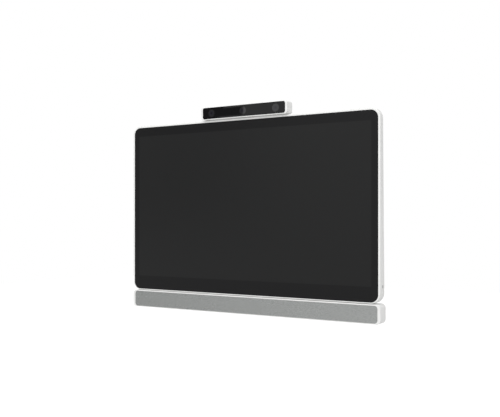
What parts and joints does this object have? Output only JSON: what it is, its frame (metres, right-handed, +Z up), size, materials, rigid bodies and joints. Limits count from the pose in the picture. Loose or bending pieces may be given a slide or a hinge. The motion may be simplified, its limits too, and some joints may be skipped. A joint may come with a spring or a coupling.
{
  "type": "smart display",
  "caption": "Wall-hung smart display: a large flat touch screen in a slim white frame, a camera bar above it and a full-width cloth-fronted soundbar below.",
  "frame": {"origin": "centre of the mount plate's rear face, which is level with the cover glass's centre", "axes": "+X to the viewer's right, +Y out of the back towards the wall, +Z up"},
  "size_m": [1.1656, 0.0953, 0.8551],
  "materials": {
    "white_shell": "satin",
    "black_glass": "opaque black-backed glass",
    "lens_glass": "coated",
    "grille_cloth": "fine woven speaker cloth",
    "black_plastic": "matte",
    "acrylic": "clear",
    "led_board": "matte",
    "film": "satin film",
    "circuit_board": "solder mask",
    "speaker_cone": "matte",
    "steel": "zinc plated",
    "painted_steel": "powder coated",
    "aluminium": "extruded"
  },
  "bodies": {
    "housing": {"amplifier_board": "circuit_board", "antenna_left": "circuit_board", "antenna_right": "circuit_board", "button_board": "circuit_board", "button_switch": "black_plastic", "camera_barrel_centre": "black_plastic", "camera_barrel_left": "black_plastic", "camera_barrel_right": "black_plastic", "camera_board": "circuit_board", "camera_bracket": "painted_steel", "camera_glass": "black_glass", "camera_lens_centre": "lens_glass", "camera_lens_left": "lens_glass", "camera_lens_right": "lens_glass", "camera_shell": "white_shell", "chassis_plate": "steel", "cover_glass": "black_glass", "cover_screw_1": "steel", "cover_screw_2": "steel", "cover_screw_3": "steel", "cover_screw_4": "steel", "diffuser_sheet": "film", "display_frame": "white_shell", "electronics_cover": "white_shell", "ethernet_socket": "steel", "grille_cloth": "grille_cloth", "grille_panel": "black_plastic", "hdmi_socket": "steel", "heatsink": "aluminium", "lcd_panel": "film", "led_strip": "led_board", "light_guide": "acrylic", "main_board": "circuit_board", "mains_inlet": "black_plastic", "mains_switch": "black_plastic", "middle_frame": "black_plastic", "mount_plate": "steel", "mount_standoff_1": "steel", "mount_standoff_2": "steel", "mount_standoff_3": "steel", "mount_standoff_4": "steel", "rear_panel": "white_shell", "soundbar_bracket_left": "painted_steel", "soundbar_bracket_right": "painted_steel", "soundbar_shell": "white_shell", "speaker_baffle": "black_plastic", "supply_board": "circuit_board", "supply_transformer": "black_plastic", "touch_sensor": "film", "tweeter_body_left": "black_plastic", "tweeter_body_right": "black_plastic", "usb_socket": "steel", "woofer_basket_left": "steel", "woofer_basket_right": "steel"},
    "power_button": {"power_button": "black_plastic"},
    "mains_rocker": {"mains_rocker": "black_plastic"},
    "woofer_cone_left": {"woofer_cone_left": "speaker_cone"},
    "woofer_cone_right": {"woofer_cone_right": "speaker_cone"},
    "tweeter_dome_left": {"tweeter_dome_left": "film"},
    "tweeter_dome_right": {"tweeter_dome_right": "film"}
  },
  "joints": [
    {"name": "power_button_press", "type": "slide", "parent": "housing", "child": "power_button", "axis": [-1, 0, 0], "range_m": [0, 0.0006], "stiffness_N_per_m": 1200, "springref_m": -0.0003},
    {"name": "mains_rocker_tip", "type": "hinge", "parent": "housing", "child": "mains_rocker", "pos_m": [-0.12, -0.02, -0.2685], "axis": [0, 1, 0], "range_deg": [-16, 0]},
    {"name": "woofer_left_excursion", "type": "slide", "parent": "housing", "child": "woofer_cone_left", "axis": [0, -1, 0], "range_m": [-0.0015, 0.0015], "stiffness_N_per_m": 1500},
    {"name": "woofer_right_excursion", "type": "slide", "parent": "housing", "child": "woofer_cone_right", "axis": [0, -1, 0], "range_m": [-0.0015, 0.0015], "stiffness_N_per_m": 1500},
    {"name": "tweeter_left_excursion", "type": "slide", "parent": "housing", "child": "tweeter_dome_left", "axis": [0, -1, 0], "range_m": [-0.0004, 0.0004], "stiffness_N_per_m": 2500},
    {"name": "tweeter_right_excursion", "type": "slide", "parent": "housing", "child": "tweeter_dome_right", "axis": [0, -1, 0], "range_m": [-0.0004, 0.0004], "stiffness_N_per_m": 2500}
  ]
}
